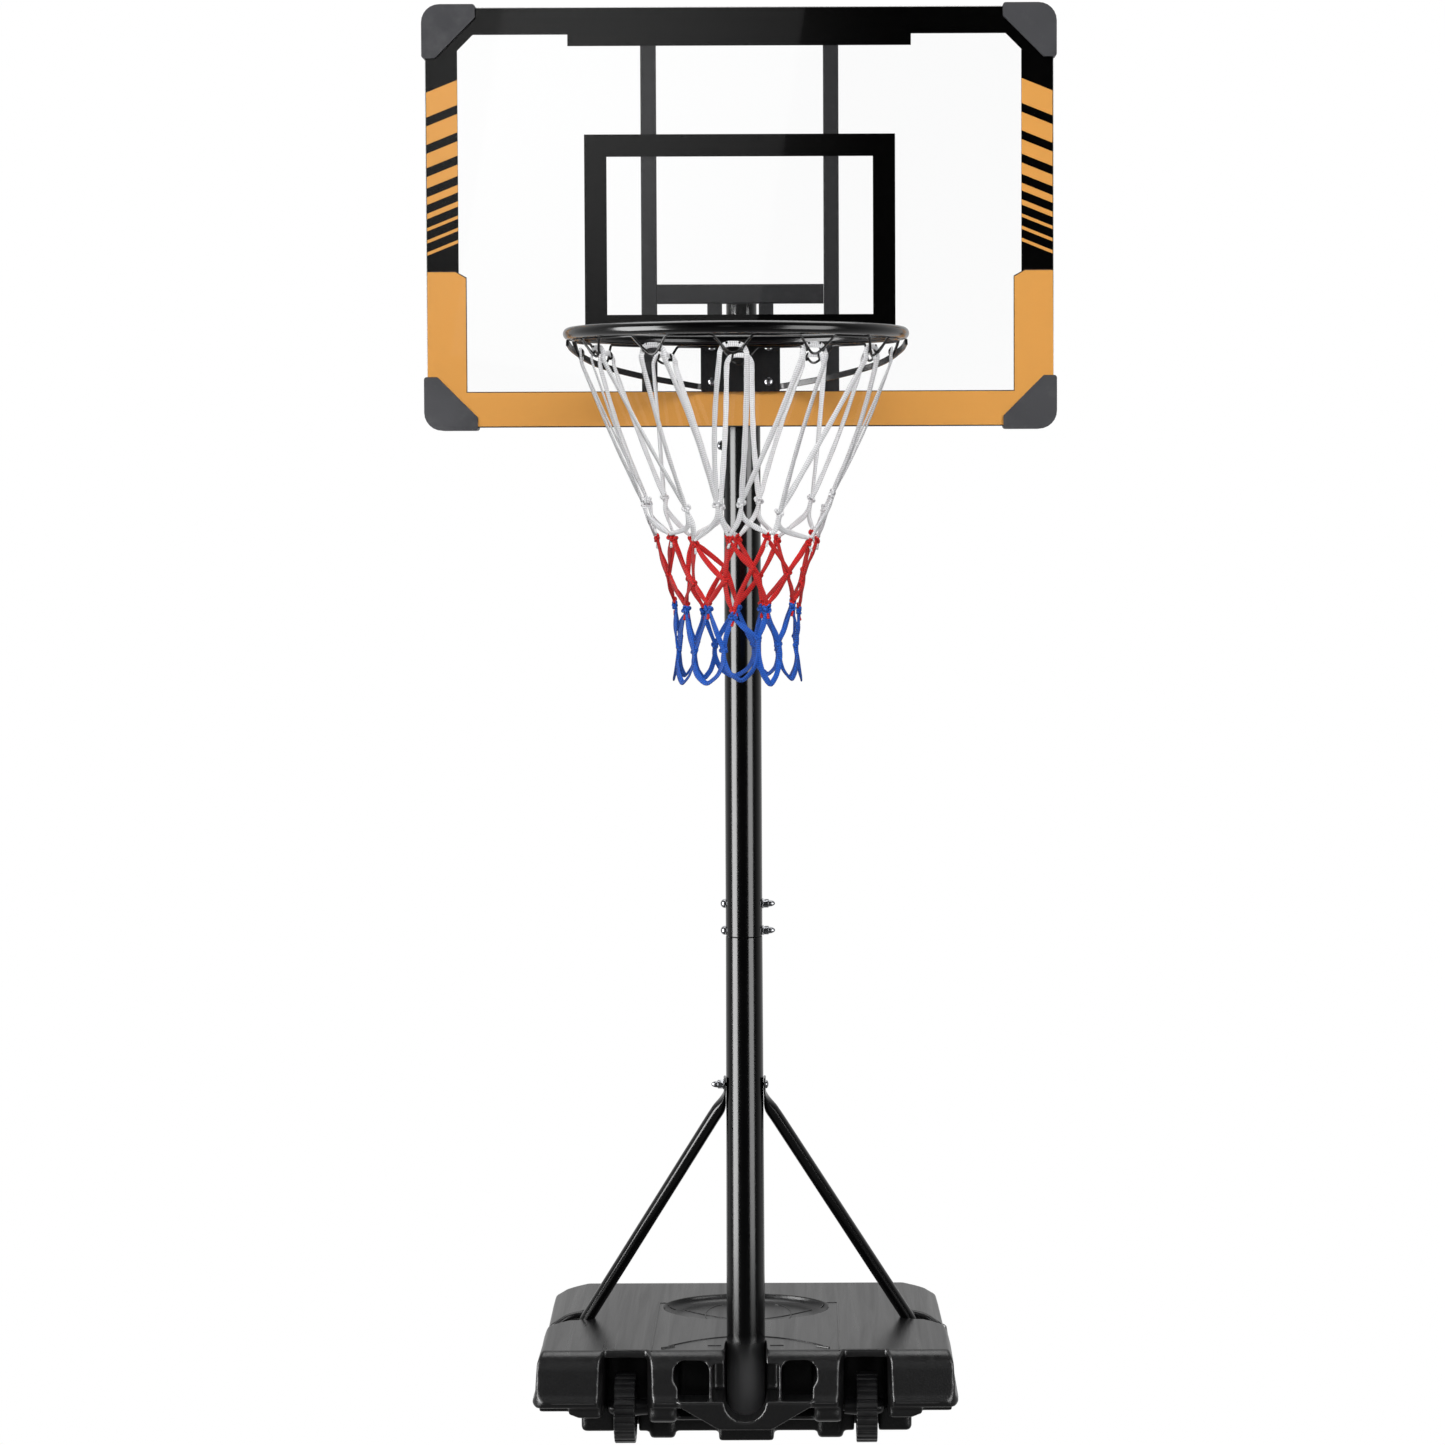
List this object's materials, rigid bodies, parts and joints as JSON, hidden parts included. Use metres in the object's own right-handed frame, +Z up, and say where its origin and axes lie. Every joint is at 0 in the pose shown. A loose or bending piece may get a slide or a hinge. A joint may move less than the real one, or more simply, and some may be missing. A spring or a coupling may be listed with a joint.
{
  "type": "portable basketball hoop",
  "caption": "Portable basketball hoop: water-filled wheeled tank, braced telescopic pole that slides to set the height, clear bordered backboard, steel rim with hooks and a three-colour net.",
  "frame": {"origin": "on the floor under the pole's axis, on the flat bottom of the tank's centre foot", "axes": "+Z up along the pole, -Y the way the board faces, +X to the right of someone looking at the board"},
  "size_m": [0.909, 1.0235, 2.1065],
  "materials": {
    "black_powder_coat": "satin",
    "tank_plastic": "satin",
    "wheel_plastic": "satin",
    "clear_panel": "gloss",
    "pad_rubber": "matte",
    "dark_plastic": "matte",
    "zinc_steel": "polished",
    "ballast_water": "gloss",
    "seal_rubber": "matte",
    "net_white_cord": "matte",
    "net_red_cord": "matte",
    "net_blue_cord": "matte"
  },
  "bodies": {
    "stand": {"base_tank": "tank_plastic", "water_ballast": "ballast_water", "wheel_axle": "black_powder_coat", "axle_clip_left": "dark_plastic", "axle_clip_right": "dark_plastic", "brace_left": "black_powder_coat", "brace_right": "black_powder_coat", "brace_bolt": "zinc_steel", "brace_nut": "zinc_steel", "foot_bolt_left": "zinc_steel", "foot_bolt_right": "zinc_steel", "pole_lower": "black_powder_coat", "pole_middle": "black_powder_coat", "guide_bush": "dark_plastic", "seam_bolt_upper": "zinc_steel", "seam_bolt_lower": "zinc_steel", "seam_nut_upper": "zinc_steel", "seam_nut_lower": "zinc_steel"},
    "carriage": {"pole_upper": "black_powder_coat", "pole_cap": "dark_plastic", "backboard_panel": "clear_panel", "frame_top": "black_powder_coat", "frame_bottom": "black_powder_coat", "frame_left": "black_powder_coat", "frame_right": "black_powder_coat", "rail_left": "black_powder_coat", "rail_right": "black_powder_coat", "cross_rail": "black_powder_coat", "post_left": "black_powder_coat", "post_right": "black_powder_coat", "corner_pad_top_left": "pad_rubber", "corner_pad_top_right": "pad_rubber", "corner_pad_bottom_left": "pad_rubber", "corner_pad_bottom_right": "pad_rubber", "bracket_left": "black_powder_coat", "bracket_right": "black_powder_coat", "bracket_bolt_upper": "zinc_steel", "bracket_bolt_lower": "zinc_steel", "bracket_nut_upper": "zinc_steel", "bracket_nut_lower": "zinc_steel", "rim_ring": "black_powder_coat", "rim_plate": "black_powder_coat", "rim_neck": "black_powder_coat", "rim_brace_left": "black_powder_coat", "rim_brace_right": "black_powder_coat", "net_hook_wire": "black_powder_coat", "rim_bolt_upper_left": "zinc_steel", "rim_bolt_upper_right": "zinc_steel", "rim_bolt_lower_left": "zinc_steel", "rim_bolt_lower_right": "zinc_steel", "net_white": "net_white_cord", "net_red": "net_red_cord", "net_blue": "net_blue_cord"},
    "wheel_left": {"wheel_left": "wheel_plastic"},
    "wheel_right": {"wheel_right": "wheel_plastic"},
    "lock_screw_upper": {"lock_screw_upper": "zinc_steel"},
    "lock_screw_lower": {"lock_screw_lower": "zinc_steel"},
    "plug": {"fill_cap": "dark_plastic", "cap_seal": "seal_rubber"}
  },
  "joints": [
    {"name": "height_slide", "type": "slide", "parent": "stand", "child": "carriage", "axis": [0, 0, 1], "range_m": [0, 0.5]},
    {"name": "wheel_left_spin", "type": "hinge", "parent": "stand", "child": "wheel_left", "pos_m": [-0.1785, 0, 0.0522], "axis": [1, 0, 0], "continuous": true},
    {"name": "wheel_right_spin", "type": "hinge", "parent": "stand", "child": "wheel_right", "pos_m": [0.1785, 0, 0.0522], "axis": [1, 0, 0], "continuous": true},
    {"name": "lock_screw_upper_turn", "type": "hinge", "parent": "stand", "child": "lock_screw_upper", "pos_m": [-0.031, 0, 1.476], "axis": [1, 0, 0], "range_deg": [0, 720]},
    {"name": "lock_screw_lower_turn", "type": "hinge", "parent": "stand", "child": "lock_screw_lower", "pos_m": [-0.031, 0, 1.406], "axis": [1, 0, 0], "range_deg": [0, 720]},
    {"name": "fill_plug_pull", "type": "slide", "parent": "stand", "child": "plug", "axis": [0, 1, 0], "range_m": [0, 0.05]}
  ]
}
